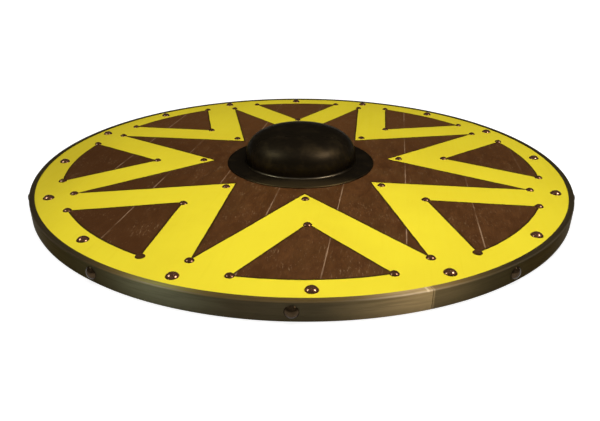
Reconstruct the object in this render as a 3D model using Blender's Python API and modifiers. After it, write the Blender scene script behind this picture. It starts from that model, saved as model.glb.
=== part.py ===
"""Wooden round shield, lying face up: glued planks in a metal rim band, a hollow boss over the hand hole,
dome nails on the points of its painted star, and a grip bar let into the back.

Metres, +Z up. The origin is the middle of the underside, and -Y is the front."""

import math

import bmesh
import bpy
from mathutils import Matrix, Vector

FIT_GAP = 0.0003

# Rim band, a channel bent round the board's edge
SHIELD_RADIUS = 0.305
BAND_WALL = 0.0008
BAND_LIP = 0.0056
BAND_CORNER = 0.0010
ROUND_SIDES = 72

# Board of planks, whose seams lean from +Y towards +X
BOARD_THICKNESS = 0.016
PLANKS = 10
LEFT_PLANK_WIDTH = 0.0279
RIGHT_PLANK_WIDTH = 0.0455
PLANK_GAP = 0.0003
PLANK_LEAN = math.radians(11)

# Boss, a hollow dome on a flat flange, fitted by eye a little off the board's middle
DOME_RADIUS = 0.0662
DOME_RISE = 0.0378
DOME_FULLNESS = 2.65
BOSS_FILLET = 0.0025
FLANGE_WIDTH = 0.0220
BOSS_SLIP = (-0.0014, -0.0038)
BOSS_WALL = 0.0016
BOSS_SIDES = 36

# Hand hole, and the grip bar across it
HOLE_LEDGE = 0.0146
GRIP_WIDTH = 0.032
GRIP_LAP = 0.050
GRIP_END_THICKNESS = 0.007
GRIP_MIDDLE_THICKNESS = 0.022
GRIP_RECESS = 0.0025
GRIP_SHOULDER = 0.006
GRIP_RAMP = 0.016
GRIP_EDGE = 0.003

# Dome nails: radius and height of the head, and radius of the shank
LARGE_HEAD = 0.00585
LARGE_HEAD_HEIGHT = 0.0035
LARGE_SHANK = 0.0013
SMALL_HEAD = 0.0044
SMALL_HEAD_HEIGHT = 0.0026
SMALL_SHANK = 0.0009
NAIL_SIDES = 8
HOLE_CLEARANCE = 0.0003
NAIL_POINT_COVER = 0.0035
BAND_NAIL_DEPTH = 0.010

# Where the nails sit
STAR_POINTS = 8
RIM_NAILS = 16
RIM_NAIL_INSET = 0.0178
FLANGE_TO_TIP_NAIL = 0.0310
TIP_TO_CORNER_NAIL = 0.0557
FRONT = math.radians(-90)
# Nails driven clearly off their even places, as (outward, anticlockwise), judged by eye to half a millimetre
NAIL_SLIPS = {
    "rim_nail_1": (0, -0.0015),
    "rim_nail_3": (0.002, 0.0015),
    "rim_nail_13": (-0.002, 0.002),
    "rim_nail_14": (-0.001, 0.002),
    "rim_nail_15": (-0.0025, 0.003),
    "corner_nail_1": (0.003, 0),
    "corner_nail_8": (0.0025, 0.0025),
}
SEEN_BAND_NAILS = (math.radians(-126.25), math.radians(-93.25), math.radians(-56.5))
HIDDEN_BAND_NAILS = 7
GRIP_END_TO_NAIL = 0.012
GRIP_NAIL_SPACING = 0.024
GRIP_SIDE_TO_NAIL = 0.010

# What follows from the sizes above
BACK_Z = BAND_WALL + FIT_GAP
FACE_Z = BACK_Z + BOARD_THICKNESS
BAND_TOP = FACE_Z + FIT_GAP + BAND_WALL
BOARD_RADIUS = SHIELD_RADIUS - BAND_WALL - FIT_GAP
PLANK_WIDTH = (2 * BOARD_RADIUS - LEFT_PLANK_WIDTH - RIGHT_PLANK_WIDTH) / (PLANKS - 2)
HAND_HOLE = DOME_RADIUS - BOSS_WALL - HOLE_LEDGE
GRIP_REACH = HAND_HOLE + GRIP_LAP
GRIP_Z = BACK_Z + GRIP_RECESS
TIP_NAIL_RING = DOME_RADIUS + FLANGE_WIDTH + FLANGE_TO_TIP_NAIL
ACROSS_PLANKS = Vector((math.cos(PLANK_LEAN), -math.sin(PLANK_LEAN), 0))
ALONG_PLANKS = Vector((math.sin(PLANK_LEAN), math.cos(PLANK_LEAN), 0))
LARGE_NAIL = (LARGE_HEAD, LARGE_HEAD_HEIGHT, LARGE_SHANK)
SMALL_NAIL = (SMALL_HEAD, SMALL_HEAD_HEIGHT, SMALL_SHANK)

WOOD = ("stained_board", (0.098, 0.034, 0.011), 0.0, 0.55)
BAND_STEEL = ("band_steel", (0.16, 0.125, 0.075), 1.0, 0.4)
BOSS_STEEL = ("boss_steel", (0.03, 0.027, 0.02), 1.0, 0.35)
NAIL_COPPER = ("nail_copper", (0.13, 0.05, 0.03), 1.0, 0.25)
GRIP_WOOD = ("grip_wood", (0.14, 0.06, 0.025), 0.0, 0.6)


def clear_scene():
    for item in list(bpy.data.objects):
        bpy.data.objects.remove(item, do_unlink=True)


def new_collection(name):
    made = bpy.data.collections.new(name)
    bpy.context.scene.collection.children.link(made)
    return made


def material(name, colour, metallic, roughness):
    made = bpy.data.materials.get(name) or bpy.data.materials.new(name)
    made.use_nodes = True
    shader = made.node_tree.nodes["Principled BSDF"]
    shader.inputs["Base Color"].default_value = (*colour, 1)
    shader.inputs["Metallic"].default_value = metallic
    shader.inputs["Roughness"].default_value = roughness
    return made


def add_piece(name, mesh, finish):
    piece = bpy.data.objects.new(name, mesh)
    if not mesh.materials:
        mesh.materials.append(material(*finish))
    shield.objects.link(piece)
    return piece


def add_cutter(name, shape):
    mesh = bpy.data.meshes.new(name)
    shape.to_mesh(mesh)
    shape.free()
    cutter = bpy.data.objects.new(name, mesh)
    cutter.hide_render = True
    cutter.display_type = "WIRE"
    cutters.objects.link(cutter)
    return cutter


def cut(piece, cutter):
    boolean = piece.modifiers.new(cutter.name, "BOOLEAN")
    boolean.operation = "DIFFERENCE"
    boolean.solver = "EXACT"
    boolean.object = cutter


def profile_mesh(name, points, closed=False):
    """A turned shape's profile, as a line of (radius, height) points at +X, from the top down its outer side."""
    mesh = bpy.data.meshes.new(name)
    edges = [(i, i + 1) for i in range(len(points) - 1)]
    if closed:
        edges.append((len(points) - 1, 0))
    mesh.from_pydata([(radius, 0, height) for radius, height in points], edges, [])
    return mesh


def turn(piece, sides):
    """Turns the piece's profile round its own Z."""
    screw = piece.modifiers.new("turn", "SCREW")
    screw.steps = sides
    screw.render_steps = sides
    screw.use_merge_vertices = True
    screw.merge_threshold = 0.00001
    screw.use_smooth_shade = True


def arc(centre, radius, start, end, steps):
    """Points of a round stretch of a profile, with the angles in degrees."""
    angles = [math.radians(start + (end - start) * i / steps) for i in range(steps + 1)]
    return [(centre[0] + radius * math.cos(a), centre[1] + radius * math.sin(a)) for a in angles]


def rim_band():
    """A channel: a wall round the edge, and a lip over the face and one under the back."""
    inner_lip = SHIELD_RADIUS - BAND_LIP
    inner_wall = SHIELD_RADIUS - BAND_WALL
    corner = SHIELD_RADIUS - BAND_CORNER
    points = [(inner_lip, BAND_TOP)]
    points += arc((corner, BAND_TOP - BAND_CORNER), BAND_CORNER, 90, 0, 2)
    points += arc((corner, BAND_CORNER), BAND_CORNER, 0, -90, 2)
    points += [(inner_lip, 0), (inner_lip, BAND_WALL), (inner_wall, BAND_WALL)]
    points += [(inner_wall, BAND_TOP - BAND_WALL), (inner_lip, BAND_TOP - BAND_WALL)]
    band = add_piece("rim_band", profile_mesh("rim_band", points, closed=True), BAND_STEEL)
    turn(band, ROUND_SIDES)
    return band


def plank(number, low, high):
    """One plank: the part of the round board between two lines along the seams."""
    shape = bmesh.new()
    place = Matrix.Translation((0, 0, BACK_Z + BOARD_THICKNESS / 2))
    bmesh.ops.create_cone(
        shape,
        cap_ends=True,
        segments=ROUND_SIDES,
        radius1=BOARD_RADIUS,
        radius2=BOARD_RADIUS,
        depth=BOARD_THICKNESS,
        matrix=place @ Matrix.Rotation(math.radians(90), 4, "Z"),
    )
    for offset, outward in ((low, -ACROSS_PLANKS), (high, ACROSS_PLANKS)):
        if abs(offset) >= BOARD_RADIUS:
            continue
        bmesh.ops.bisect_plane(
            shape,
            geom=shape.verts[:] + shape.edges[:] + shape.faces[:],
            plane_co=ACROSS_PLANKS * offset,
            plane_no=outward,
            clear_outer=True,
        )
        bmesh.ops.holes_fill(shape, edges=[edge for edge in shape.edges if edge.is_boundary])
    bmesh.ops.recalc_face_normals(shape, faces=shape.faces[:])
    mesh = bpy.data.meshes.new(f"board_plank_{number}")
    shape.to_mesh(mesh)
    shape.free()
    return add_piece(f"board_plank_{number}", mesh, WOOD)


def board():
    """Planks glued edge to edge, from the left to the right. The two outer ones are cut narrower."""
    seams = [LEFT_PLANK_WIDTH - BOARD_RADIUS + PLANK_WIDTH * k for k in range(PLANKS - 1)]
    lows = [-BOARD_RADIUS] + [seam + PLANK_GAP / 2 for seam in seams]
    highs = [seam - PLANK_GAP / 2 for seam in seams] + [BOARD_RADIUS]
    return [plank(i + 1, low, high) for i, (low, high) in enumerate(zip(lows, highs))]


def dome_points(radius, rise, base, steps):
    """The dome's line from its top down to where its side stands upright."""
    points = []
    for i in range(steps + 1):
        angle = math.pi / 2 * (1 - i / steps)
        across = max(math.cos(angle), 0) ** (2 / DOME_FULLNESS) if i else 0
        up = math.sin(angle) ** (2 / DOME_FULLNESS)
        points.append((radius * across, base + rise * up))
    return points


def boss():
    """A shell of even wall: dome, round fillet and flat flange with a rounded edge."""
    under = FACE_Z + FIT_GAP
    spring = under + BOSS_WALL + BOSS_FILLET
    fillet = (DOME_RADIUS + BOSS_FILLET, spring)
    edge = (DOME_RADIUS + FLANGE_WIDTH - BOSS_WALL / 2, under + BOSS_WALL / 2)
    points = dome_points(DOME_RADIUS, DOME_RISE, spring, 7)
    points += arc(fillet, BOSS_FILLET, 180, 270, 3)[1:]
    points += arc(edge, BOSS_WALL / 2, 90, -90, 3)
    points += arc(fillet, BOSS_FILLET + BOSS_WALL, 270, 180, 2)
    points += dome_points(DOME_RADIUS - BOSS_WALL, DOME_RISE - BOSS_WALL, spring, 7)[-2::-1]
    piece = add_piece("boss", profile_mesh("boss", points), BOSS_STEEL)
    turn(piece, BOSS_SIDES)
    piece.location.xy = BOSS_SLIP


def grip_outline():
    """The bar's side view, as (along, up from its back) points: thin ends, and a swell inside the hand hole."""
    swell = GRIP_MIDDLE_THICKNESS - GRIP_END_THICKNESS
    start = HAND_HOLE - GRIP_SHOULDER
    ramp = []
    for i in range(6):
        turned = (1 - math.cos(math.pi * i / 5)) / 2
        ramp.append((start - GRIP_RAMP * i / 5, GRIP_END_THICKNESS + swell * turned))
    half = [(GRIP_REACH, 0), (GRIP_REACH, GRIP_END_THICKNESS)] + ramp
    return half + [(-along, up) for along, up in reversed(half)]


def grip_bar():
    """Cut from the side view, across the planks, with its long edges rounded."""
    curve = bpy.data.curves.new("grip_bar", "CURVE")
    curve.dimensions = "2D"
    curve.fill_mode = "BOTH"
    curve.extrude = GRIP_WIDTH / 2
    outline = grip_outline()
    line = curve.splines.new("POLY")
    line.points.add(len(outline) - 1)
    for point, (along, up) in zip(line.points, outline):
        point.co = (along, up, 0, 1)
    line.use_cyclic_u = True
    guide = bpy.data.objects.new("grip_outline", curve)
    shield.objects.link(guide)
    bpy.context.view_layer.update()
    mesh = bpy.data.meshes.new_from_object(guide.evaluated_get(bpy.context.evaluated_depsgraph_get()))
    bpy.data.objects.remove(guide)
    shape = bmesh.new()
    shape.from_mesh(mesh)
    bmesh.ops.remove_doubles(shape, verts=shape.verts[:], dist=0.000001)
    bmesh.ops.recalc_face_normals(shape, faces=shape.faces[:])
    shape.to_mesh(mesh)
    shape.free()
    mesh.name = "grip_bar"
    bar = add_piece("grip_bar", mesh, GRIP_WOOD)
    bar.matrix_world = (
        Matrix.Translation((0, 0, GRIP_Z))
        @ Matrix.Rotation(-PLANK_LEAN, 4, "Z")
        @ Matrix.Rotation(math.radians(90), 4, "X")
    )
    rounding = bar.modifiers.new("rounded_edges", "BEVEL")
    rounding.width = GRIP_EDGE
    rounding.segments = 2
    rounding.limit_method = "ANGLE"
    rounding.angle_limit = math.radians(60)
    return bar


def grip_notch():
    """The housing that the grip's ends lie in, open at the board's back."""
    top = GRIP_Z + GRIP_END_THICKNESS + FIT_GAP
    shape = bmesh.new()
    size = (2 * (GRIP_REACH + FIT_GAP), GRIP_WIDTH + 2 * FIT_GAP, 2 * (top - BACK_Z))
    place = Matrix.Translation((0, 0, BACK_Z)) @ Matrix.Rotation(-PLANK_LEAN, 4, "Z")
    bmesh.ops.create_cube(shape, size=1, matrix=place @ Matrix.Diagonal((*size, 1)))
    return add_cutter("grip_notch", shape)


def hand_hole():
    shape = bmesh.new()
    bmesh.ops.create_cone(
        shape,
        cap_ends=True,
        segments=BOSS_SIDES,
        radius1=HAND_HOLE,
        radius2=HAND_HOLE,
        depth=3 * BOARD_THICKNESS,
        matrix=Matrix.Translation((0, 0, BACK_Z + BOARD_THICKNESS / 2)),
    )
    return add_cutter("hand_hole", shape)


def nail_mesh(name, size, depth):
    """A nail with its point at -Z: a domed head whose underside is one gap above the surface, and a shank."""
    head, height, shank = size
    dome = (head**2 + height**2) / (2 * height)
    half_angle = math.degrees(math.asin(head / dome))
    points = [(0, height)] + arc((0, height - dome), dome, 90, 90 - half_angle, 3)[1:-1]
    points += [(head, FIT_GAP), (shank, FIT_GAP), (shank, -depth), (0, -depth)]
    return profile_mesh(name, points)


def place_on(angle, radius, height):
    """A spot on a face that looks up."""
    return Matrix.Translation((radius * math.cos(angle), radius * math.sin(angle), height))


def place_on_edge(angle):
    """A spot on the band's wall, half way up, with Z pointing out."""
    place = Matrix.Rotation(angle, 4, "Z") @ Matrix.Translation((SHIELD_RADIUS, 0, BAND_TOP / 2))
    return place @ Matrix.Rotation(math.radians(90), 4, "Y")


def place_on_back(along, across):
    """A spot on the grip bar's back, with Z pointing down."""
    spot = ACROSS_PLANKS * along + ALONG_PLANKS * across
    return Matrix.Translation((spot.x, spot.y, GRIP_Z)) @ Matrix.Rotation(math.radians(180), 4, "X")


def nail_group(name, size, depth, places, holes):
    """Like nails, and a hole for each: nails share one mesh, and the holes join one cutter's shape."""
    mesh = nail_mesh(name, size, depth)
    for i, place in enumerate(places):
        nail = add_piece(f"{name}_{i + 1}", mesh, NAIL_COPPER)
        nail.matrix_world = place
        turn(nail, NAIL_SIDES)
        length = depth + HOLE_CLEARANCE + size[1]
        middle = Matrix.Translation((0, 0, size[1] - length / 2))
        bmesh.ops.create_cone(
            holes,
            cap_ends=True,
            segments=NAIL_SIDES,
            radius1=size[2] + HOLE_CLEARANCE,
            radius2=size[2] + HOLE_CLEARANCE,
            depth=length,
            matrix=place @ middle,
        )


def band_nail_angles():
    """The nails that show, and the rest spread evenly round the back."""
    seen = SEEN_BAND_NAILS
    step = (seen[0] + 2 * math.pi - seen[-1]) / (HIDDEN_BAND_NAILS + 1)
    return list(seen) + [seen[-1] + step * (i + 1) for i in range(HIDDEN_BAND_NAILS)]


def face_nails(holes):
    """On the face: round the rim, at the star's inner tips and in the corners of the brown triangles."""
    depth = BOARD_THICKNESS - NAIL_POINT_COVER
    rings = (
        ("rim_nail", LARGE_NAIL, RIM_NAILS, SHIELD_RADIUS - RIM_NAIL_INSET),
        ("tip_nail", SMALL_NAIL, STAR_POINTS, TIP_NAIL_RING),
        ("corner_nail", SMALL_NAIL, STAR_POINTS, TIP_NAIL_RING + TIP_TO_CORNER_NAIL),
    )
    for name, size, count, radius in rings:
        places = []
        for i in range(count):
            outward, along = NAIL_SLIPS.get(f"{name}_{i + 1}", (0, 0))
            angle = FRONT + 2 * math.pi * i / count + along / radius
            places.append(place_on(angle, radius + outward, FACE_Z))
        nail_group(name, size, depth, places, holes)


def grip_nails(holes):
    """Two through each end of the grip bar, staggered so that they don't share a line of the grain."""
    places = []
    for side in (-1, 1):
        for i in range(2):
            inset = GRIP_END_TO_NAIL + GRIP_NAIL_SPACING * i
            across = (GRIP_WIDTH / 2 - GRIP_SIDE_TO_NAIL) * (2 * i - 1)
            places.append(place_on_back(side * (GRIP_REACH - inset), side * across))
    nail_group("grip_nail", SMALL_NAIL, FACE_Z - NAIL_POINT_COVER - GRIP_Z, places, holes)


def build():
    band = rim_band()
    planks = board()
    boss()
    bar = grip_bar()
    face_holes = bmesh.new()
    face_nails(face_holes)
    edge_holes = bmesh.new()
    places = [place_on_edge(angle) for angle in band_nail_angles()]
    nail_group("band_nail", LARGE_NAIL, BAND_NAIL_DEPTH, places, edge_holes)
    grip_holes = bmesh.new()
    grip_nails(grip_holes)
    band_holes = add_cutter("band_holes", edge_holes)
    bar_holes = add_cutter("grip_holes", grip_holes)
    board_cutters = (hand_hole(), grip_notch(), add_cutter("nail_holes", face_holes), band_holes, bar_holes)
    for piece in planks:
        for cutter in board_cutters:
            cut(piece, cutter)
    cut(band, band_holes)
    cut(bar, bar_holes)


clear_scene()
shield = new_collection("wooden_round_shield")
cutters = new_collection("cutters")
build()
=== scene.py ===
"""Wooden round shield, lying face up: painted planks in a brushed metal band, a black boss, dome nails."""

import math
import random

import bmesh
import bpy
from mathutils import Matrix, Vector, noise


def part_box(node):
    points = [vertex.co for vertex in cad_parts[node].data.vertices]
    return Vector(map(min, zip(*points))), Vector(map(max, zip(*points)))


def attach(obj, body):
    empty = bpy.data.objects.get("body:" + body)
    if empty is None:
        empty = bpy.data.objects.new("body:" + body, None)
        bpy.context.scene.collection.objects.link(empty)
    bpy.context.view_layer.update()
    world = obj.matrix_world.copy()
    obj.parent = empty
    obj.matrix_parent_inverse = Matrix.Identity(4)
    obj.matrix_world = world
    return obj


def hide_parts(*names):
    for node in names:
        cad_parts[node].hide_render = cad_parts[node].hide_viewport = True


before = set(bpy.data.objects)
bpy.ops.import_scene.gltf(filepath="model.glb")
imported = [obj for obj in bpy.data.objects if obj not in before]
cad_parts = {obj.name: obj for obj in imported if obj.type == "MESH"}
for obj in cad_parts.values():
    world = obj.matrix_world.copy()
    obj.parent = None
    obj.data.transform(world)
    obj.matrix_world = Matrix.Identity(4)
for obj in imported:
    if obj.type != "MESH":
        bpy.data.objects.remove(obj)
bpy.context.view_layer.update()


# The board is ten softwood planks glued edge to edge and sawn round, stained dark brown. The two outer
# planks are narrower. A hand hole goes through the middle, and the grip's ends are let into the back.
board_low, board_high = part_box("board_plank_5")
band_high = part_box("rim_band")[1]
BACK_Z = board_low.z
FACE_Z = board_high.z
FACE_SKIN = 0.0002
SHIELD_RADIUS = band_high.x
BAND_WALL = 0.0008
BAND_GAP = 0.0003
BOARD_RADIUS = SHIELD_RADIUS - BAND_WALL - BAND_GAP
ROUND_STEPS = 288
PLANKS = 10
LEFT_PLANK_WIDTH = 0.0279
RIGHT_PLANK_WIDTH = 0.0455
PLANK_WIDTH = (2 * BOARD_RADIUS - LEFT_PLANK_WIDTH - RIGHT_PLANK_WIDTH) / (PLANKS - 2)
PLANK_LEAN = math.radians(11)
FIRST_SEAM = LEFT_PLANK_WIDTH - BOARD_RADIUS
PLANK_DICE = 0.4
FIGURE_SHIFT = (3, 5, 1)
GRAIN_DEPTH = 0.00022
CROSS_SCRATCH_TURN = -0.5
STAIN_DARK = (0.062, 0.0220, 0.0052, 1)
STAIN_LIGHT = (0.118, 0.0455, 0.0120, 1)
STAIN_OLIVE = (0.090, 0.0400, 0.0105, 1)
STAIN_WORN = (0.24, 0.140, 0.068, 1)
BARE_BACK = (0.16, 0.075, 0.030, 1)
GLUE_LINE = (0.36, 0.225, 0.13, 1)
GLUE_HALF_WIDTHS = (0.0005, 0.0010)
# Places across the planks where the eighth and the last seam come in, and where in Y the eighth is lost
EIGHTH_SEAM = (0.165, 0.180)
LAST_SEAM = (0.215, 0.230)
EIGHTH_SEAM_LOST = (-0.08, -0.02)


def feed(socket, value):
    """Gives a socket another node's output, or a plain number, vector or colour."""
    if isinstance(value, bpy.types.NodeSocket):
        socket.id_data.links.new(value, socket)
    else:
        socket.default_value = value


def maths(tree, operation, *values):
    step = tree.nodes.new("ShaderNodeMath")
    step.operation = operation
    for socket, value in zip(step.inputs, values):
        feed(socket, value)
    return step.outputs[0]


def times(tree, first, second):
    return maths(tree, "MULTIPLY", first, second)


def apart(tree, first, second):
    """How far two values are from each other."""
    return maths(tree, "ABSOLUTE", maths(tree, "SUBTRACT", first, second))


def between(tree, value, low, high, out_low=0.0, out_high=1.0):
    """A smooth step from out_low, where the value is at low, to out_high, where it is at high."""
    step = tree.nodes.new("ShaderNodeMapRange")
    step.interpolation_type = "SMOOTHSTEP"
    ends = (("From Min", low), ("From Max", high), ("To Min", out_low), ("To Max", out_high))
    for name, given in (("Value", value),) + ends:
        feed(step.inputs[name], given)
    return step.outputs["Result"]


def mix(tree, share, first, second):
    step = tree.nodes.new("ShaderNodeMix")
    step.data_type = "RGBA"
    feed(step.inputs["Factor"], share)
    feed(step.inputs[6], first)
    feed(step.inputs[7], second)
    return step.outputs[2]


def tinted(tree, colour, value, low, high, most, tint):
    """The colour with more of a tint, from none where the value is at low to most where it is at high."""
    return mix(tree, between(tree, value, low, high, 0, most), colour, tint)


def object_place(tree):
    return tree.nodes.new("ShaderNodeTexCoord").outputs["Object"]


def stretched(tree, place, scale, turn=0.0):
    """The same place in a frame turned round Z and stretched along its axes."""
    step = tree.nodes.new("ShaderNodeMapping")
    step.inputs["Rotation"].default_value = (0, 0, turn)
    step.inputs["Scale"].default_value = scale
    feed(step.inputs["Vector"], place)
    return step.outputs["Vector"]


def clouds(tree, place, scale, detail=3.0, roughness=0.55, distortion=0.0):
    step = tree.nodes.new("ShaderNodeTexNoise")
    feed(step.inputs["Vector"], place)
    step.inputs["Scale"].default_value = scale
    step.inputs["Detail"].default_value = detail
    step.inputs["Roughness"].default_value = roughness
    step.inputs["Distortion"].default_value = distortion
    return step.outputs["Fac"]


def drawn_out(tree, place, scale, detail=3.0, roughness=0.55, distortion=0.0, turn=0.0):
    """Clouds with a scale of their own along each axis, such as the grain of wood or brushed metal."""
    return clouds(tree, stretched(tree, place, scale, turn), 1.0, detail, roughness, distortion)


def parts_of(tree, vector):
    step = tree.nodes.new("ShaderNodeSeparateXYZ")
    feed(step.inputs[0], vector)
    return step.outputs


def joined(tree, x, y, z):
    step = tree.nodes.new("ShaderNodeCombineXYZ")
    for socket, value in zip(step.inputs, (x, y, z)):
        feed(socket, value)
    return step.outputs[0]


def out_from_middle(tree, x, y):
    step = tree.nodes.new("ShaderNodeVectorMath")
    step.operation = "LENGTH"
    feed(step.inputs[0], joined(tree, x, y, 0))
    return step.outputs["Value"]


def raised(tree, height, depth, under=None):
    """A bump whose height of 1 is depth in metres."""
    step = tree.nodes.new("ShaderNodeBump")
    step.inputs["Strength"].default_value = 1.0
    step.inputs["Distance"].default_value = depth
    feed(step.inputs["Height"], height)
    if under is not None:
        feed(step.inputs["Normal"], under)
    return step.outputs["Normal"]


def new_material(name, colour, metallic, roughness):
    made = bpy.data.materials.new(name)
    made.use_nodes = True
    shader = made.node_tree.nodes["Principled BSDF"]
    shader.inputs["Base Color"].default_value = (*colour[:3], 1)
    shader.inputs["Metallic"].default_value = metallic
    shader.inputs["Roughness"].default_value = roughness
    return made, made.node_tree, shader


# The star is masked off with tape and painted in yellow: eight V-shaped arms, a brown triangle left bare
# in each, and a ring along the rim. It is a thin coat on the planks, so the grain hardly shows through.
PAINT = (0.86, 0.70, 0.030, 1)
PAINT_SHADE = (0.82, 0.655, 0.027, 1)
PAINT_SHADED_LEFT = (0.20, 0.135, 0.015, 1)
PAINT_SHADOW = (0.030, 0.0135, 0.0012, 1)
PAINT_SHADOW_REACH = (-0.0027, -0.0008)
PAINT_THICKNESS = 0.00012
PAINT_EDGE = 0.0001
TAPE_WANDER = 0.0016
PAINT_RING = 0.274
ARM_START = 0.106
ARM_SLOPE = 0.738
TRIANGLE_START = 0.1749
TRIANGLE_SLOPE = 0.715
STAR_POINTS = 8
FRONT = math.radians(-90)


def star_depth(tree, x, y):
    """How far inside the painted pattern a spot is, in metres, and less than 0 outside it."""
    radius = out_from_middle(tree, x, y)
    turned = maths(tree, "SUBTRACT", maths(tree, "ARCTAN2", y, x), FRONT)
    half = math.pi / STAR_POINTS
    folded = maths(tree, "ABSOLUTE", maths(tree, "WRAP", turned, half, -half))
    along = times(tree, radius, maths(tree, "COSINE", folded))
    across = times(tree, radius, maths(tree, "SINE", folded))

    def inside_lines(start, slope):
        rise = times(tree, maths(tree, "SUBTRACT", along, start), slope)
        return maths(tree, "DIVIDE", maths(tree, "SUBTRACT", rise, across), math.hypot(1, slope))

    in_ring = maths(tree, "SUBTRACT", radius, PAINT_RING)
    in_arm = inside_lines(ARM_START, ARM_SLOPE)
    inside_ring = times(tree, in_ring, -1)
    in_triangle = maths(tree, "MINIMUM", inside_lines(TRIANGLE_START, TRIANGLE_SLOPE), inside_ring)
    in_arm = maths(tree, "MINIMUM", in_arm, times(tree, in_triangle, -1))
    return maths(tree, "MAXIMUM", in_arm, in_ring)


def board_material():
    made, tree, shader = new_material("stained_board", STAIN_LIGHT, 0.0, 0.5)
    shader.inputs["Specular IOR Level"].default_value = 0.22
    place = object_place(tree)
    x, y, z = parts_of(tree, place)

    # Along each plank, with the figure shifted from plank to plank
    lying = stretched(tree, place, (1, 1, 1), PLANK_LEAN)
    across = parts_of(tree, lying)["X"]
    from_seam = maths(tree, "DIVIDE", maths(tree, "SUBTRACT", across, FIRST_SEAM), PLANK_WIDTH)
    dice = tree.nodes.new("ShaderNodeTexWhiteNoise")
    dice.noise_dimensions = "1D"
    feed(dice.inputs["W"], maths(tree, "ADD", maths(tree, "FLOOR", from_seam), PLANK_DICE))
    own = dice.outputs["Value"]
    shift = tree.nodes.new("ShaderNodeVectorMath")
    shift.operation = "MULTIPLY_ADD"
    feed(shift.inputs[0], dice.outputs["Color"])
    shift.inputs[1].default_value = FIGURE_SHIFT
    feed(shift.inputs[2], lying)
    figure = shift.outputs[0]

    streaks = drawn_out(tree, figure, (260, 12, 60), 5, 0.62, 0.3)
    fibres = drawn_out(tree, figure, (1500, 60, 300), 3, 0.6)
    blotches = drawn_out(tree, figure, (90, 44, 44), 6, 0.70, 0.5)
    mottles = drawn_out(tree, figure, (330, 110, 110), 3, 0.6)
    tints = drawn_out(tree, figure, (34, 22, 22), 4, 0.6, 0.4)
    stain = mix(tree, between(tree, blotches, 0.30, 0.72), STAIN_DARK, STAIN_LIGHT)
    for pattern, low, high, most, tint in (
        (mottles, 0.42, 0.66, 0.50, STAIN_DARK),
        (tints, 0.45, 0.70, 0.40, STAIN_OLIVE),
        (streaks, 0.40, 0.75, 0.35, STAIN_DARK),
        (fibres, 0.42, 0.75, 0.22, STAIN_DARK),
        (own, 0, 1, 0.22, STAIN_DARK),
        # Darker towards the left, and lighter towards the back, where the lightening is a painted sheen
        (x, -0.06, -0.20, 0.75, STAIN_DARK),
        (y, 0.02, 0.18, 0.75, STAIN_LIGHT),
    ):
        stain = tinted(tree, stain, pattern, low, high, most, tint)

    # Worn spots, pale specks and short scratches
    worn = drawn_out(tree, figure, (480, 90, 60), 2, 0.5, 0.8)
    scuffs = between(tree, worn, 0.62, 0.74, 0, 0.5)
    scuffs = times(tree, scuffs, between(tree, tints, 0.45, 0.60))
    stain = mix(tree, scuffs, stain, STAIN_WORN)
    specks = clouds(tree, figure, 620.0, 1, 0.5)
    stain = tinted(tree, stain, specks, 0.71, 0.78, 0.45, STAIN_WORN)
    for turn, shape in ((PLANK_LEAN, (700, 120, 1)), (CROSS_SCRATCH_TURN, (900, 150, 1))):
        scratched = drawn_out(tree, place, shape, 1, 0.5, 0.2, turn)
        somewhere = between(tree, clouds(tree, place, 38.0, 2), 0.50, 0.60)
        scratches = times(tree, between(tree, scratched, 0.64, 0.74, 0, 0.6), somewhere)
        stain = mix(tree, scratches, stain, STAIN_WORN)

    # Glue lines show pale along the seams, more in some places than in others
    between_seams = maths(tree, "FRACT", maths(tree, "ADD", from_seam, 0.5))
    from_glue = times(tree, apart(tree, between_seams, 0.5), PLANK_WIDTH)
    seam_wobble = drawn_out(tree, lying, (1, 60, 1), 2)
    seam_half = between(tree, seam_wobble, 0.3, 0.7, *GLUE_HALF_WIDTHS)
    seam = between(tree, from_glue, seam_half, times(tree, seam_half, 0.3))
    faded = drawn_out(tree, lying, (20, 22, 1), 3, 0.6)
    seam = times(tree, seam, between(tree, faded, 0.36, 0.62, 0.12, 0.78))
    seam = times(tree, seam, between(tree, across, *LAST_SEAM, 1, 0.2))
    lost = times(tree, between(tree, across, *EIGHTH_SEAM), between(tree, across, *reversed(LAST_SEAM)))
    lost = times(tree, lost, between(tree, y, *EIGHTH_SEAM_LOST, 0, 0.9))
    seam = times(tree, seam, maths(tree, "SUBTRACT", 1, lost))
    stain = mix(tree, seam, stain, GLUE_LINE)

    # The paint, with the slight wander of a taped edge
    mirrored = stretched(tree, place, (-1, 1, 1))
    wandered = []
    for value, pattern in ((x, clouds(tree, place, 28.0, 3)), (y, clouds(tree, mirrored, 31.0, 3))):
        wander = times(tree, maths(tree, "SUBTRACT", pattern, 0.5), TAPE_WANDER)
        wandered.append(maths(tree, "ADD", value, wander))
    depth = star_depth(tree, *wandered)
    on_face = maths(tree, "GREATER_THAN", z, FACE_Z - FACE_SKIN)
    off_face = maths(tree, "LESS_THAN", z, FACE_Z - FACE_SKIN)
    painted = times(tree, between(tree, depth, -PAINT_EDGE, PAINT_EDGE), on_face)
    beside_paint = times(tree, between(tree, depth, *PAINT_SHADOW_REACH, 0, 0.90), on_face)
    stain = mix(tree, beside_paint, stain, PAINT_SHADOW)
    coat = mix(tree, between(tree, clouds(tree, place, 9.0, 4), 0.35, 0.65), PAINT, PAINT_SHADE)
    coat = tinted(tree, coat, streaks, 0.55, 0.8, 0.03, STAIN_LIGHT)
    # The paint darkens towards the far left: painted shade
    coat = tinted(tree, coat, x, -0.22, -0.285, 0.22, PAINT_SHADED_LEFT)
    wood = mix(tree, times(tree, off_face, 0.35), stain, BARE_BACK)
    feed(shader.inputs["Base Color"], mix(tree, painted, wood, coat))

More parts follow.
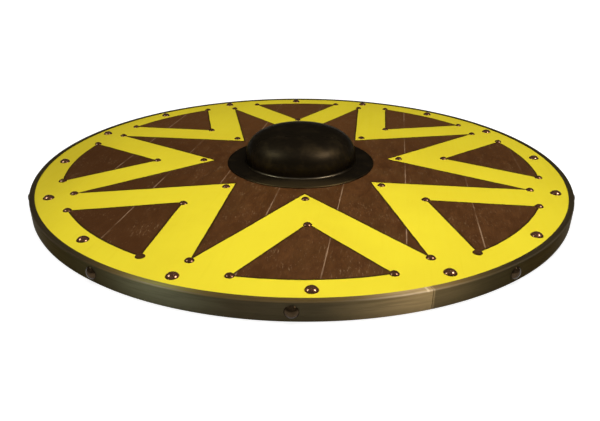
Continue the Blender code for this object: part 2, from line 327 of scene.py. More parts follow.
    wood_roughness = between(tree, blotches, 0.3, 0.7, 0.46, 0.60)
    paint_roughness = between(tree, streaks, 0.3, 0.7, 0.40, 0.46)
    smoother = maths(tree, "SUBTRACT", paint_roughness, wood_roughness)
    feed(shader.inputs["Roughness"], maths(tree, "MULTIPLY_ADD", painted, smoother, wood_roughness))

    grain_height = maths(tree, "MULTIPLY_ADD", streaks, 0.6, times(tree, fibres, 0.4))
    grain_height = times(tree, grain_height, maths(tree, "MULTIPLY_ADD", painted, -0.65, 1.0))
    grain = raised(tree, grain_height, GRAIN_DEPTH)
    feed(shader.inputs["Normal"], raised(tree, painted, PAINT_THICKNESS, grain))
    return made


def set_smooth(piece, angle=35):
    """Shades a piece smooth, but not over edges sharper than the angle in degrees."""
    piece.data.shade_smooth()
    piece.data.set_sharp_from_angle(angle=math.radians(angle))


def add_object(name, shape):
    mesh = bpy.data.meshes.new(name)
    shape.to_mesh(mesh)
    shape.free()
    made = bpy.data.objects.new(name, mesh)
    bpy.context.scene.collection.objects.link(made)
    return made


def lathe(name, profile, steps, place=Matrix.Identity(4)):
    """Turns a line of (radius, height) points round Z. It runs from the top down the outer side."""
    shape = bmesh.new()
    rings = []
    angles = [2 * math.pi * i / steps for i in range(steps)]
    for radius, height in profile:
        if math.isclose(radius, 0, abs_tol=1e-7):
            rings.append([shape.verts.new((0, 0, height))])
            continue
        places = [(radius * math.cos(angle), radius * math.sin(angle), height) for angle in angles]
        rings.append([shape.verts.new(spot) for spot in places])
    for upper, lower in zip(rings, rings[1:]):
        for i in range(steps):
            turns = ((upper, i), (lower, i), (lower, i + 1), (upper, i + 1))
            corners = [ring[j % len(ring)] for ring, j in turns]
            kept = [corner for j, corner in enumerate(corners) if corner not in corners[:j]]
            if len(kept) > 2:
                shape.faces.new(kept)
    bmesh.ops.transform(shape, matrix=place, verts=shape.verts)
    return add_object(name, shape)


def cut_away(piece, cutters):
    for cutter in cutters:
        boolean = piece.modifiers.new(cutter.name, "BOOLEAN")
        boolean.operation = "DIFFERENCE"
        boolean.solver = "EXACT"
        boolean.object = cutter
    depsgraph = bpy.context.evaluated_depsgraph_get()
    mesh = bpy.data.meshes.new_from_object(piece.evaluated_get(depsgraph))
    piece.modifiers.clear()
    piece.data = mesh


def plank_shape(low, high):
    """The part of the round board between two lines along the seams."""
    shape = bmesh.new()
    bmesh.ops.create_cone(
        shape,
        cap_ends=True,
        segments=ROUND_STEPS,
        radius1=BOARD_RADIUS,
        radius2=BOARD_RADIUS,
        depth=FACE_Z - BACK_Z,
        matrix=Matrix.Translation((0, 0, (BACK_Z + FACE_Z) / 2)),
    )
    outward = Vector((math.cos(PLANK_LEAN), -math.sin(PLANK_LEAN), 0))
    for offset, side in ((low, -outward), (high, outward)):
        if abs(offset) >= BOARD_RADIUS:
            continue
        bmesh.ops.bisect_plane(
            shape,
            geom=shape.verts[:] + shape.edges[:] + shape.faces[:],
            plane_co=outward * offset,
            plane_no=side,
            clear_outer=True,
        )
        bmesh.ops.holes_fill(shape, edges=[edge for edge in shape.edges if edge.is_boundary])
    bmesh.ops.recalc_face_normals(shape, faces=shape.faces[:])
    return shape


# The hand hole, eased at the back, and the housing for the grip's ends are cut from the middle planks
bar_low, bar_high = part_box("grip_bar")
HAND_HOLE = 0.050
HOLE_EASING = 0.0015
HOLE_STEPS = 96
CUT_PAST_FACE = 0.01
GRIP_WIDTH = 0.032
GRIP_REACH = 0.100
GRIP_END_THICKNESS = 0.007
HOUSING_GAP = 0.0002
housing_top = bar_low.z + GRIP_END_THICKNESS + HOUSING_GAP
hole_profile = [
    (0, FACE_Z + CUT_PAST_FACE),
    (HAND_HOLE, FACE_Z + CUT_PAST_FACE),
    (HAND_HOLE, BACK_Z + HOLE_EASING),
    (HAND_HOLE + HOLE_EASING * 1.5, BACK_Z - HOLE_EASING / 2),
    (0, BACK_Z - HOLE_EASING / 2),
]
hole_cutter = lathe("hand_hole", hole_profile, HOLE_STEPS)
housing = bmesh.new()
housing_size = (2 * (GRIP_REACH + HOUSING_GAP), GRIP_WIDTH + 2 * HOUSING_GAP, 2 * (housing_top - BACK_Z))
housing_place = Matrix.Translation((0, 0, BACK_Z)) @ Matrix.Rotation(-PLANK_LEAN, 4, "Z")
bmesh.ops.create_cube(housing, size=1, matrix=housing_place @ Matrix.Diagonal((*housing_size, 1)))
housing_cutter = add_object("grip_housing", housing)

board_finish = board_material()
seams = [FIRST_SEAM + PLANK_WIDTH * i for i in range(PLANKS - 1)]
for i, (low, high) in enumerate(zip([-BOARD_RADIUS] + seams, seams + [BOARD_RADIUS])):
    plank = add_object(f"plank_{i + 1}", plank_shape(low, high))
    if low < GRIP_REACH and high > -GRIP_REACH:
        cut_away(plank, [hole_cutter, housing_cutter])
    plank.data.materials.clear()
    plank.data.materials.append(board_finish)
    set_smooth(plank)
    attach(plank, "root")
    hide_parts(f"board_plank_{i + 1}")
bpy.data.objects.remove(hole_cutter)
bpy.data.objects.remove(housing_cutter)


# The rim band is a strip of thin steel bent to a channel and drawn round the board's edge, with its brown
# patina brushed along its length. Its ends meet in a butt joint at the front right.
BAND_TOP = band_high.z
BAND_LIP = 0.0056
BAND_CORNER = 0.0012
BAND_EASING = 0.00025
BAND_WAVE = 0.00012
BAND_WAVES = 6
CORNER_STEPS = 6
EASING_STEPS = 3
JOINT = math.radians(-72.8)
JOINT_GAP = 0.00035
JOINT_DEPTH = 0.0005
JOINT_TURN = math.radians(0.45)
PAST_JOINT = 0.28
BRUSH_DEPTH = 0.00003
EDGE_HIGHLIGHT_SHARES = (0.16, 0.38)
EDGE_HIGHLIGHT_TURN = (math.radians(-112), math.radians(-94))
SHEEN_MIDDLE = math.radians(-94)
LIP_SHEEN_REACH = (math.radians(39.6), math.radians(20.9))
WALL_SHEEN_REACH = (math.radians(16), math.radians(6))
WALL_DARK = (0.037, 0.0290, 0.0145, 1)
WALL_LIGHT = (0.072, 0.0560, 0.0275, 1)
WALL_GREENED = (0.058, 0.0520, 0.0290, 1)
LIP_DARK = (0.050, 0.0370, 0.0180, 1)
LIP_LIGHT = (0.072, 0.0520, 0.0250, 1)
LIP_SHEEN_COLOUR = (0.155, 0.0960, 0.0300, 1)
RUBBED_AND_SHEEN = (0.17, 0.128, 0.072, 1)
# Two painted highlights. Each has a middle and a reach, and a colour for its wall, lip and outer edge
LEFT_HIGHLIGHT_SPOT = (math.radians(-112.5), math.radians(12.5))
LEFT_HIGHLIGHT_COLOURS = ((0.165, 0.160, 0.094, 1), (0.34, 0.31, 0.10, 1), (0.33, 0.30, 0.20, 1))
RIGHT_HIGHLIGHT_SPOT = (math.radians(-75.5), math.radians(15.5))
RIGHT_HIGHLIGHT_COLOURS = ((0.44, 0.310, 0.143, 1), (0.62, 0.44, 0.215, 1), (0.84, 0.65, 0.41, 1))
NICK = JOINT - math.radians(0.8)
NICK_REACH = (math.radians(0.28), math.radians(0.08))
NICK_PALE = (0.90, 0.76, 0.50, 1)
FOOT_DARKENING_HEIGHTS = (0.012, 0.001)
WALL_METAL = 0.92
LIP_METAL = 0.45


def arc(centre, radius, start, end, steps):
    """Points of a round stretch of a profile, with the angles in degrees."""
    angles = [math.radians(start + (end - start) * i / steps) for i in range(steps + 1)]
    return [(centre[0] + radius * math.cos(a), centre[1] + radius * math.sin(a)) for a in angles]


def band_profile():
    """The channel's section, counter-clockwise as (radius, height), with its corners rounded."""
    outer = SHIELD_RADIUS - BAND_WAVE
    lip = SHIELD_RADIUS - BAND_LIP
    corner = outer - BAND_CORNER
    points = arc((corner, BAND_CORNER), BAND_CORNER, -90, 0, CORNER_STEPS)
    points += arc((corner, BAND_TOP - BAND_CORNER), BAND_CORNER, 0, 90, CORNER_STEPS)
    points += arc((lip + BAND_EASING, BAND_TOP - BAND_EASING), BAND_EASING, 90, 180, EASING_STEPS)
    points += [(lip, BAND_TOP - BAND_WALL), (outer - BAND_WALL, BAND_TOP - BAND_WALL)]
    points += [(outer - BAND_WALL, BAND_WALL), (lip, BAND_WALL)]
    points += arc((lip + BAND_EASING, BAND_EASING), BAND_EASING, 180, 270, EASING_STEPS)
    return points


def band_angles():
    """Even steps round the edge, and narrow ones at the joint. The second value is the share cut there."""
    angles = [(2 * math.pi * i / ROUND_STEPS - math.pi, 0) for i in range(ROUND_STEPS)]
    half = JOINT_GAP / 2 / SHIELD_RADIUS
    angles = [pair for pair in angles if abs(pair[0] - JOINT) > 3 * half]
    angles += [(JOINT + half * side, cut) for side, cut in ((-1.3, 0), (-1, 1), (1, 1), (1.3, 0))]
    return sorted(angles)


def band_shape():
    shape = bmesh.new()
    profile = band_profile()
    rings = []
    for angle, cut in band_angles():
        around = Vector((math.cos(angle), math.sin(angle), 0))
        wave = noise.noise(around * BAND_WAVES) * BAND_WAVE
        ring = []
        for radius, height in profile:
            outside = radius > SHIELD_RADIUS - BAND_WALL or height > BAND_TOP - BAND_WALL / 2
            inset = JOINT_DEPTH * cut if outside else 0
            radius += wave - (inset if radius > SHIELD_RADIUS - 2 * BAND_CORNER else 0)
            height -= inset if height > BAND_TOP / 2 and radius < SHIELD_RADIUS - BAND_CORNER else 0
            ring.append(shape.verts.new((*(around * radius).xy, height)))
        rings.append(ring)
    for ring, following in zip(rings, rings[1:] + rings[:1]):
        for i in range(len(profile)):
            j = (i + 1) % len(profile)
            shape.faces.new((ring[i], following[i], following[j], ring[j]))
    bmesh.ops.recalc_face_normals(shape, faces=shape.faces[:])
    return shape


def band_material():
    made, tree, shader = new_material("band_steel", WALL_LIGHT, WALL_METAL, 0.5)
    shader.inputs["Specular IOR Level"].default_value = 0.15
    shader.inputs["Specular Tint"].default_value = (0.45, 0.40, 0.32, 1)
    shader.inputs["Anisotropic"].default_value = 0.95
    shader.inputs["Anisotropic Rotation"].default_value = 0.25
    place = object_place(tree)
    x, y, z = parts_of(tree, place)
    radius = out_from_middle(tree, x, y)
    angle = maths(tree, "ARCTAN2", y, x)

    # The brushed patina with its hairlines, and a painted sheen and painted edge highlight at the front
    girth = joined(tree, x, y, maths(tree, "SUBTRACT", z, radius))
    brushed = drawn_out(tree, girth, (14, 14, 750), 4, 0.65)
    hairlines = drawn_out(tree, girth, (40, 40, 6000), 2, 0.6)
    dulled = drawn_out(tree, girth, (26, 26, 420), 3, 0.6)
    from_middle = apart(tree, angle, SHEEN_MIDDLE)
    wall = mix(tree, between(tree, brushed, 0.32, 0.70), WALL_DARK, WALL_LIGHT)
    wall = tinted(tree, wall, clouds(tree, place, 22.0, 3, 0.55), 0.4, 0.7, 0.4, WALL_LIGHT)
    wall = tinted(tree, wall, x, -0.06, -0.20, 0.7, WALL_GREENED)
    wall = tinted(tree, wall, from_middle, *WALL_SHEEN_REACH, 0.22, RUBBED_AND_SHEEN)
    lip = mix(tree, between(tree, brushed, 0.30, 0.70), LIP_DARK, LIP_LIGHT)
    lip = mix(tree, between(tree, from_middle, *LIP_SHEEN_REACH), lip, LIP_SHEEN_COLOUR)
    on_lip = between(tree, z, BAND_TOP - 1.4 * BAND_CORNER, BAND_TOP - 0.3 * BAND_CORNER)
    colour = mix(tree, on_lip, wall, lip)
    in_from_edge = maths(tree, "SUBTRACT", SHIELD_RADIUS + BAND_TOP, maths(tree, "ADD", radius, z))
    edge_line = between(tree, in_from_edge, BAND_CORNER, BAND_CORNER * 0.75)
    edge_highlight = times(tree, edge_line, between(tree, angle, *EDGE_HIGHLIGHT_TURN, *EDGE_HIGHLIGHT_SHARES))
    hairlines_and_edge_highlight = maths(tree, "MAXIMUM", between(tree, hairlines, 0.50, 0.80, 0, 0.3), edge_highlight)
    colour = mix(tree, hairlines_and_edge_highlight, colour, RUBBED_AND_SHEEN)

    # Painted highlights in two places at the front, one of which stops at the joint
    painted_highlights = ((LEFT_HIGHLIGHT_SPOT, LEFT_HIGHLIGHT_COLOURS), (RIGHT_HIGHLIGHT_SPOT, RIGHT_HIGHLIGHT_COLOURS))
    for (middle, reach), (on_wall, on_top, at_edge) in painted_highlights:
        highlight_share = between(tree, apart(tree, angle, middle), reach, 0, 0, 0.88)
        sooner = maths(tree, "POWER", highlight_share, maths(tree, "MAXIMUM", on_lip, edge_line))
        highlight_share = times(tree, highlight_share, sooner)
        if middle < JOINT < middle + reach:
            up_to_joint = between(tree, angle, JOINT + JOINT_TURN, JOINT, PAST_JOINT, 1)
            highlight_share = times(tree, highlight_share, up_to_joint)
        here = mix(tree, on_lip, on_wall, on_top)
        here = mix(tree, edge_line, here, at_edge)
        colour = mix(tree, highlight_share, colour, here)

    # A pale nick across the lip by the joint
    nick = between(tree, apart(tree, angle, NICK), *NICK_REACH, 0, 0.6)
    colour = mix(tree, times(tree, nick, on_lip), colour, NICK_PALE)

    # Dull marks, and darker towards the wall's foot
    foot = between(tree, z, *FOOT_DARKENING_HEIGHTS, 0, 0.38)
    off_edge = maths(tree, "SUBTRACT", 1, edge_line)
    marks = times(tree, between(tree, dulled, 0.42, 0.66, 0, 0.25), off_edge)
    colour = mix(tree, maths(tree, "MAXIMUM", foot, marks), colour, WALL_DARK)
    feed(shader.inputs["Base Color"], colour)
    metal = maths(tree, "MULTIPLY_ADD", on_lip, LIP_METAL - WALL_METAL, WALL_METAL)
    feed(shader.inputs["Metallic"], metal)
    feed(shader.inputs["Roughness"], between(tree, brushed, 0.3, 0.7, 0.46, 0.56))
    tangent = tree.nodes.new("ShaderNodeTangent")
    tangent.direction_type = "RADIAL"
    tangent.axis = "Z"
    feed(shader.inputs["Tangent"], tangent.outputs["Tangent"])
    scored = maths(tree, "MULTIPLY_ADD", brushed, 0.5, hairlines)
    feed(shader.inputs["Normal"], raised(tree, scored, BRUSH_DEPTH))
    return made


band = add_object("edge_band", band_shape())
band.data.materials.append(band_material())
set_smooth(band, 40)
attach(band, "root")
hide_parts("rim_band")


# The boss is one sheet of steel raised to a dome over the hand hole, with a flat flange. It is blackened
# and waxed, and hollow inside for the fist.
boss_low, boss_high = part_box("boss")
FLANGE_RADIUS = (boss_high.x - boss_low.x) / 2
FLANGE_EASING = 0.003
DOME_RADIUS = 0.0662
DOME_RISE = 0.0378
DOME_FULLNESS = 2.65
DOME_SPRING = boss_high.z - DOME_RISE
BOSS_WALL = 0.0016
BOSS_FILLET = 0.0025
BOSS_STEPS = 192
DOME_STEPS = 40
HOLLOW_STEPS = 30
FILLET_STEPS = 10
HOLLOW_FILLET_STEPS = 8
FLANGE_EASING_STEPS = 8
FLANGE_EDGE_STEPS = 3
HAMMERED_DEPTH = 0.0002
# Where the flange's painted sheen and the crease's painted highlight begin and are full, from the front
# edge
FLANGE_SHEEN_REACH = (0.030, 0.006)
CREASE_HIGHLIGHT_REACH = (0.055, 0.018)
BLACKENED = (0.029, 0.0212, 0.0126, 1)
BLACKENED_WORN_AND_SHEEN = (0.115, 0.080, 0.036, 1)
CREASE_HIGHLIGHT_COLOUR = (0.21, 0.175, 0.125, 1)


def dome_line(radius, rise, steps):
    """The dome's line from its top down to where its side stands upright."""
    points = []
    for i in range(steps + 1):
        angle = math.pi / 2 * (1 - i / steps)
        across = max(math.cos(angle), 0) ** (2 / DOME_FULLNESS) if i else 0
        points.append((radius * across, DOME_SPRING + rise * math.sin(angle) ** (2 / DOME_FULLNESS)))
    return points


def boss_profile():
    """The sheet's line from the dome's top over the flange's edge and back inside to the top."""
    under = DOME_SPRING - BOSS_WALL - BOSS_FILLET
    fillet = (DOME_RADIUS + BOSS_FILLET, DOME_SPRING)
    edge = BOSS_WALL / 5
    drop = BOSS_WALL - edge
    points = dome_line(DOME_RADIUS, DOME_RISE, DOME_STEPS)
    points += arc(fillet, BOSS_FILLET, 180, 270, FILLET_STEPS)[1:]
    eased = arc((0, 0), 1, 90, 0, FLANGE_EASING_STEPS)
    points += [(FLANGE_RADIUS - FLANGE_EASING * (1 - out), under + edge + drop * up) for out, up in eased]
    points += arc((FLANGE_RADIUS - edge, under + edge), edge, 0, -90, FLANGE_EDGE_STEPS)[1:]
    points += arc(fillet, BOSS_FILLET + BOSS_WALL, 270, 180, HOLLOW_FILLET_STEPS)
    return points + dome_line(DOME_RADIUS - BOSS_WALL, DOME_RISE - BOSS_WALL, HOLLOW_STEPS)[-2::-1]


def boss_material():
    made, tree, shader = new_material("boss_steel", BLACKENED, 0.8, 0.40)
    shader.inputs["Specular IOR Level"].default_value = 0.3
    shader.inputs["Specular Tint"].default_value = (0.18, 0.15, 0.11, 1)
    place = object_place(tree)
    mottled = clouds(tree, place, 60.0, 5, 0.6, 0.3)
    fine = clouds(tree, place, 700.0, 3, 0.6)
    turned = drawn_out(tree, place, (30, 30, 900), 3, 0.6)
    colour = tinted(tree, BLACKENED, mottled, 0.45, 0.8, 0.35, BLACKENED_WORN_AND_SHEEN)
    colour = tinted(tree, colour, fine, 0.62, 0.8, 0.25, BLACKENED_WORN_AND_SHEEN)

    # A painted sheen on the flange and a painted highlight along the smoother crease, both at the front
    y, z = parts_of(tree, place)[1:]
    from_front = maths(tree, "SUBTRACT", y, boss_low.y)
    flange_top = DOME_SPRING - BOSS_FILLET
    flat = between(tree, z, flange_top + BOSS_FILLET / 3, flange_top + BOSS_FILLET / 6)
    flange_sheen = times(tree, flat, between(tree, from_front, *FLANGE_SHEEN_REACH))
    colour = mix(tree, flange_sheen, colour, BLACKENED_WORN_AND_SHEEN)
    crease_highlight_share = between(tree, z, DOME_SPRING, flange_top + BOSS_FILLET / 2, 0, 0.8)
    crease_highlight_share = times(tree, crease_highlight_share, maths(tree, "SUBTRACT", 1, flat))
    crease_highlight_share = times(tree, crease_highlight_share, between(tree, from_front, *CREASE_HIGHLIGHT_REACH))
    colour = mix(tree, crease_highlight_share, colour, CREASE_HIGHLIGHT_COLOUR)
    feed(shader.inputs["Base Color"], colour)
    waxed = between(tree, mottled, 0.3, 0.7, 0.38, 0.46)
    feed(shader.inputs["Roughness"], maths(tree, "MULTIPLY_ADD", crease_highlight_share, -0.12, waxed))
    height = maths(tree, "MULTIPLY_ADD", mottled, 1.0, times(tree, fine, 0.1))
    height = maths(tree, "MULTIPLY_ADD", turned, 0.15, height)
    feed(shader.inputs["Normal"], raised(tree, height, HAMMERED_DEPTH))
    return made


boss_place = Matrix.Translation(((boss_low.x + boss_high.x) / 2, (boss_low.y + boss_high.y) / 2, 0))
boss = lathe("dome_boss", boss_profile(), BOSS_STEPS, boss_place)
boss.data.materials.append(boss_material())
set_smooth(boss, 50)
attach(boss, "root")
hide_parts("boss")


# The grip is a bar of plain wood across the hand hole, its thin ends let into the board's back and its
# middle left thick and rounded for the hand.
GRIP_MIDDLE_THICKNESS = bar_high.z - bar_low.z
GRIP_SHOULDER = 0.006
GRIP_RAMP = 0.016
GRIP_STEPS = 80
GRIP_CORNER_STEPS = 6
GRIP_GRAIN_DEPTH = 0.0001
END_EASING = 0.0012
MIDDLE_EASING = 0.0095
GRIP_PALE = (0.30, 0.165, 0.075, 1)
GRIP_DARK = (0.15, 0.068, 0.026, 1)


def swell_at(along):
    """0 on the bar's ends and 1 in its middle."""
    into = (HAND_HOLE - GRIP_SHOULDER - abs(along)) / GRIP_RAMP
    return (1 - math.cos(math.pi * min(max(into, 0), 1))) / 2


def grip_section(along):
    """The bar's section there: a rectangle with its corners rounded, more so in the middle."""
    swell = swell_at(along)
    thick = GRIP_END_THICKNESS + (GRIP_MIDDLE_THICKNESS - GRIP_END_THICKNESS) * swell
    easing = END_EASING + (MIDDLE_EASING - END_EASING) * swell
    half = GRIP_WIDTH / 2 - easing
    centres = ((half, thick - easing), (-half, thick - easing), (-half, easing), (half, easing))
    points = []
    for i, centre in enumerate(centres):
        points += arc(centre, easing, 90 * i, 90 * i + 90, GRIP_CORNER_STEPS)
    return points


def grip_shape():
    shape = bmesh.new()
    rings = []
    for i in range(GRIP_STEPS + 1):
        along = GRIP_REACH * (2 * i / GRIP_STEPS - 1)
        rings.append([shape.verts.new((along, across, up)) for across, up in grip_section(along)])
    for ring, following in zip(rings, rings[1:]):
        for j in range(len(ring)):
            k = (j + 1) % len(ring)
            shape.faces.new((ring[j], ring[k], following[k], following[j]))
    shape.faces.new(rings[0][::-1])
    shape.faces.new(rings[-1])
    bmesh.ops.recalc_face_normals(shape, faces=shape.faces[:])
    place = Matrix.Translation((0, 0, bar_low.z)) @ Matrix.Rotation(-PLANK_LEAN, 4, "Z")
    bmesh.ops.transform(shape, matrix=place, verts=shape.verts)
    return shape


def grip_material():
    made, tree, shader = new_material("grip_wood", GRIP_PALE, 0.0, 0.55)
    lying = stretched(tree, object_place(tree), (1, 1, 1), PLANK_LEAN)
    streaks = drawn_out(tree, lying, (9, 300, 300), 5, 0.6, 0.3)
    fibres = drawn_out(tree, lying, (40, 1600, 1600), 2, 0.6)
    colour = mix(tree, between(tree, streaks, 0.3, 0.7), GRIP_DARK, GRIP_PALE)
    feed(shader.inputs["Base Color"], tinted(tree, colour, fibres, 0.5, 0.8, 0.4, GRIP_DARK))
    feed(shader.inputs["Roughness"], between(tree, streaks, 0.3, 0.7, 0.48, 0.62))
    grain = maths(tree, "MULTIPLY_ADD", streaks, 0.7, fibres)
    feed(shader.inputs["Normal"], raised(tree, grain, GRIP_GRAIN_DEPTH))
    return made


grip = add_object("hand_grip", grip_shape())
grip.data.materials.append(grip_material())
set_smooth(grip, 40)
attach(grip, "root")
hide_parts("grip_bar")


# The nails have dome heads of coppered steel gone dark, and are driven home by hand, so each sits a little
# differently. The large ones go round the rim and in the band, the small ones on the star and in the grip.
NAIL_STEPS = 28
HEAD_STEPS = 9
HEAD_EDGE = 0.00025
LARGE_SHANK = 0.0013
SMALL_SHANK = 0.0009
FACE_NAIL_DEPTH = 0.0125
BAND_NAIL_DEPTH = 0.010
GRIP_NAIL_DEPTH = 0.010
NAIL_TILT = math.radians(2.0)
NAIL_SLIP = 0.0002
PITTED_DEPTH = 0.000015
# A pale and a dark colour for each finish, and the tints of their edges
COPPER = ((0.34, 0.160, 0.085, 1), (0.23, 0.098, 0.048, 1))
SMALL_COPPER = ((0.22, 0.100, 0.050, 1), (0.15, 0.062, 0.029, 1))
SHADED_COPPER = ((0.062, 0.039, 0.020, 1), (0.038, 0.024, 0.012, 1))
DULLED_COPPER = ((0.085, 0.036, 0.012, 1), (0.050, 0.020, 0.006, 1))
COPPER_EDGE = (0.5, 0.35, 0.22, 1)
BAND_NAIL_EDGE = (0.25, 0.18, 0.10, 1)
RIM_NAILS = 16
BAND_NAILS = 10
GRIP_NAILS = 4
ARM_NAIL_RING = 0.2615
OUTER_CORNER_RING = 0.2738
OUTER_CORNER_TURN = math.radians(13.756)
DULLED_NAILS = ("outer_corner_nail_left_2", "outer_corner_nail_right_8")
HAND_SEED = 8
hand = random.Random(HAND_SEED)


def nail_size(box, shank):
    """The radius and height of a face nail's head, from its node's box, and the radius of its shank."""
    low, high = box
    return (high.x - low.x) / 2, high.z - FACE_Z, shank


def nail_profile(size, depth):
    """Dome, a thin rounded edge, the flat underside and the shank."""
    head, height, shank = size
    rise = height - HEAD_EDGE
    dome = (head**2 + rise**2) / (2 * rise)
    half_angle = math.degrees(math.asin(head / dome))
    points = [(0, height)] + arc((0, height - dome), dome, 90, 90 - half_angle, HEAD_STEPS)[1:]
    points += [(head, HEAD_EDGE * 0.6), (head - HEAD_EDGE, 0)]
    return points + [(shank, 0), (shank, -depth), (0, -depth - shank)]


def nail_material(name, colours, metallic, roughness, edge_tint, lacquer=0.0):
    pale, dark = colours
    made, tree, shader = new_material(name, pale, metallic, roughness)
    shader.inputs["Specular IOR Level"].default_value = 0.3
    shader.inputs["Specular Tint"].default_value = edge_tint
    shader.inputs["Coat Weight"].default_value = lacquer
    shader.inputs["Coat Roughness"].default_value = 0.12
    place = object_place(tree)
    mottled = clouds(tree, place, 300.0, 3, 0.6)
    fine = clouds(tree, place, 1800.0, 2, 0.6)
    feed(shader.inputs["Base Color"], mix(tree, between(tree, mottled, 0.35, 0.7), dark, pale))
    roughened = between(tree, mottled, 0.3, 0.7, roughness * 0.85, roughness * 1.15)
    feed(shader.inputs["Roughness"], roughened)
    pitted = maths(tree, "MULTIPLY_ADD", fine, 0.3, mottled)
    feed(shader.inputs["Normal"], raised(tree, pitted, PITTED_DEPTH))
    return made


def drive_nail(name, finish, size, depth, place, node=None):
    """One nail, its point to the place's -Z and a little off true. It stands for a node if one is named."""
    tilt = Matrix.Rotation(hand.uniform(-NAIL_TILT, NAIL_TILT), 4, "X")
    tilt @= Matrix.Rotation(hand.uniform(-NAIL_TILT, NAIL_TILT), 4, "Y")
    turn = Matrix.Rotation(hand.uniform(0, math.tau), 4, "Z")
    aside = [hand.uniform(-NAIL_SLIP, NAIL_SLIP) for _ in range(2)]
    slip = Matrix.Translation((*aside, -NAIL_SLIP))
    nail = lathe(name, nail_profile(size, depth), NAIL_STEPS, place @ slip @ tilt @ turn)
    nail.data.materials.append(finish)
    set_smooth(nail, 40)
    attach(nail, "root")
    if node:
        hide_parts(node)


def axis_spot(node):
    """The middle of a nail's node, which is on its axis."""
    points = [vertex.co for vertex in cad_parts[node].data.vertices]
    return sum(points, Vector()) / len(points)


def place_on_face(angle, radius):
    return Matrix.Translation((radius * math.cos(angle), radius * math.sin(angle), FACE_Z))


LARGE_NAIL = nail_size(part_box("rim_nail_1"), LARGE_SHANK)
SMALL_NAIL = nail_size(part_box("tip_nail_1"), SMALL_SHANK)
copper_nail = nail_material("nail_copper", COPPER, 0.75, 0.20, COPPER_EDGE, 0.9)
small_nail = nail_material("small_nail_copper", SMALL_COPPER, 0.7, 0.24, COPPER_EDGE, 0.5)
# The band's nails take the same copper in darker colours, as painted shade
shaded_band_nail = nail_material("band_nail_shaded_copper", SHADED_COPPER, 0.5, 0.15, BAND_NAIL_EDGE)
dulled_nail = nail_material("dulled_nail_copper", DULLED_COPPER, 0.0, 0.55, COPPER_EDGE)

# Round the rim, and at the star's points and inner corners
for kind, count, size, finish in (
    ("rim_nail", RIM_NAILS, LARGE_NAIL, copper_nail),
    ("tip_nail", STAR_POINTS, SMALL_NAIL, small_nail),
    ("corner_nail", STAR_POINTS, SMALL_NAIL, small_nail),
):
    for i in range(count):
        node = f"{kind}_{i + 1}"
        spot = axis_spot(node)
        place = Matrix.Translation((spot.x, spot.y, FACE_Z))
        drive_nail(f"{kind}_head_{i + 1}", finish, size, FACE_NAIL_DEPTH, place, node)

# In the band's side and in the grip
for i in range(BAND_NAILS):
    node = f"band_nail_{i + 1}"
    spot = axis_spot(node)
    place = Matrix.Rotation(math.atan2(spot.y, spot.x), 4, "Z")
    place @= Matrix.Translation((SHIELD_RADIUS, 0, spot.z)) @ Matrix.Rotation(math.radians(90), 4, "Y")
    drive_nail(f"band_nail_head_{i + 1}", shaded_band_nail, LARGE_NAIL, BAND_NAIL_DEPTH, place, node)
for i in range(GRIP_NAILS):
    node = f"grip_nail_{i + 1}"
    spot = axis_spot(node)
    place = Matrix.Translation((spot.x, spot.y, bar_low.z)) @ Matrix.Rotation(math.pi, 4, "X")
    drive_nail(f"grip_nail_head_{i + 1}", small_nail, SMALL_NAIL, GRIP_NAIL_DEPTH, place, node)

# Between the star's arms and at the triangles' outer corners, which have no nodes
for i in range(STAR_POINTS):
    axis = FRONT + 2 * math.pi * i / STAR_POINTS
    place = place_on_face(axis + math.pi / STAR_POINTS, ARM_NAIL_RING)
    drive_nail(f"arm_nail_{i + 1}", small_nail, SMALL_NAIL, FACE_NAIL_DEPTH, place)
    for side, turn in (("left", -OUTER_CORNER_TURN), ("right", OUTER_CORNER_TURN)):
        name = f"outer_corner_nail_{side}_{i + 1}"
        finish = dulled_nail if name in DULLED_NAILS else small_nail
        place = place_on_face(axis + turn, OUTER_CORNER_RING)
        drive_nail(name, finish, SMALL_NAIL, FACE_NAIL_DEPTH, place)


# The shield lies on a plain pale floor inside a wide pale backdrop. Both glow a little, so that the ground
# is as even and bright as studio paper under soft light.
FLOOR_SIZE = 30
FLOOR_DROP = 0.0002
FLOOR_GREY = (0.50, 0.50, 0.49)
FLOOR_GLOW = 0.83
BACKDROP_GREY = (0.9, 0.9, 0.9)
BACKDROP_GLOW = 1.0
BACKDROP_STEPS = 32


def paper_finish(name, colour, roughness, gloss, glow):
    made, _, shader = new_material(name, colour, 0.0, roughness)
    shader.inputs["Specular IOR Level"].default_value = gloss
    shader.inputs["Emission Color"].default_value = (1, 1, 1, 1)
    shader.inputs["Emission Strength"].default_value = glow
    return made


floor_shape = bmesh.new()
bmesh.ops.create_grid(floor_shape, x_segments=1, y_segments=1, size=FLOOR_SIZE / 2)
floor = add_object("floor", floor_shape)
floor.location.z = -FLOOR_DROP
floor.data.materials.append(paper_finish("pale_floor", FLOOR_GREY, 0.7, 0.2, FLOOR_GLOW))

backdrop_shape = bmesh.new()
bmesh.ops.create_uvsphere(
    backdrop_shape,
    u_segments=2 * BACKDROP_STEPS,
    v_segments=BACKDROP_STEPS,
    radius=FLOOR_SIZE / 2,
)
backdrop = add_object("backdrop", backdrop_shape)
backdrop.data.materials.append(paper_finish("pale_backdrop", BACKDROP_GREY, 1.0, 0.5, BACKDROP_GLOW))
backdrop.visible_diffuse = False
backdrop.visible_glossy = False
backdrop.visible_shadow = False


# The light is a small cool lamp on the left and a warmer, stronger one on the right, both seen in what is
# glossy, with a soft bulb low over the front and a wide light from above for the rest.
PANEL_SIZE = 0.25
BULB_RADIUS = 0.10
BULB_POWER = 4.7
BULB_PLACE = (0.06, -0.20, 0.45)
SKY_POWER = 1.68
SKY_SPREAD = math.radians(70)
AIR_COLOUR = (1, 0.94, 0.84, 1)
AIR_GLOW = 0.03


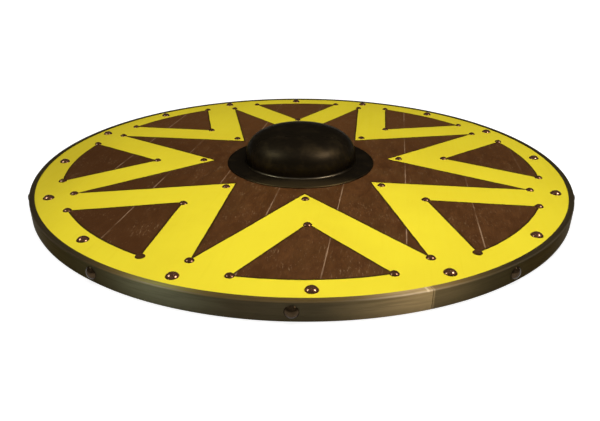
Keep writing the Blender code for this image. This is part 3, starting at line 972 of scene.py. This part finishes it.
def add_lamp(light, place, catch_light):
    """Puts up a lamp aimed at the board's middle: a catch light, seen in what is glossy, or a soft fill."""
    lamp = bpy.data.objects.new(light.name, light)
    bpy.context.scene.collection.objects.link(lamp)
    lamp.location = place
    lamp.rotation_euler = (-lamp.location).to_track_quat("-Z", "Y").to_euler()
    lamp.visible_glossy = catch_light
    lamp.visible_diffuse = not catch_light


for name, power, colour, place in (
    ("left_lamp", 1.6, (0.92, 1.0, 0.90), (-0.62, -0.17, 0.65)),
    ("right_lamp", 4.2, (1.0, 0.92, 0.80), (0.62, -0.30, 0.80)),
):
    panel = bpy.data.lights.new(name, "AREA")
    panel.shape = "SQUARE"
    panel.size = PANEL_SIZE
    panel.energy = power
    panel.color = colour
    add_lamp(panel, place, True)
bulb = bpy.data.lights.new("front_bulb", "POINT")
bulb.shadow_soft_size = BULB_RADIUS
bulb.energy = BULB_POWER
add_lamp(bulb, BULB_PLACE, False)
sky = bpy.data.lights.new("soft_top", "SUN")
sky.energy = SKY_POWER
sky.angle = SKY_SPREAD
add_lamp(sky, (0, 0, 1), False)

world = bpy.data.worlds.new("studio")
world.use_nodes = True
world.node_tree.nodes["Background"].inputs["Color"].default_value = AIR_COLOUR
world.node_tree.nodes["Background"].inputs["Strength"].default_value = AIR_GLOW
bpy.context.scene.world = world


# The camera stands at the photograph's angle, close to the shield and a little left of its middle, with its
# place, turn and lens fitted to where the nails are seen.
CAMERA_PLACE = (-0.02152, -0.63903, 0.2483)
CAMERA_TURN = (math.radians(64.8559), math.radians(-0.2318), math.radians(-1.6718))
SENSOR_WIDTH = 36
LENS = 33.2016
camera_lens = bpy.data.cameras.new("photo_camera")
camera_lens.sensor_width = SENSOR_WIDTH
camera_lens.lens = LENS
camera = bpy.data.objects.new("photo_camera", camera_lens)
camera.location = CAMERA_PLACE
camera.rotation_euler = CAMERA_TURN
bpy.context.scene.collection.objects.link(camera)
bpy.context.scene.camera = camera
bpy.context.scene.view_settings.view_transform = "Standard"
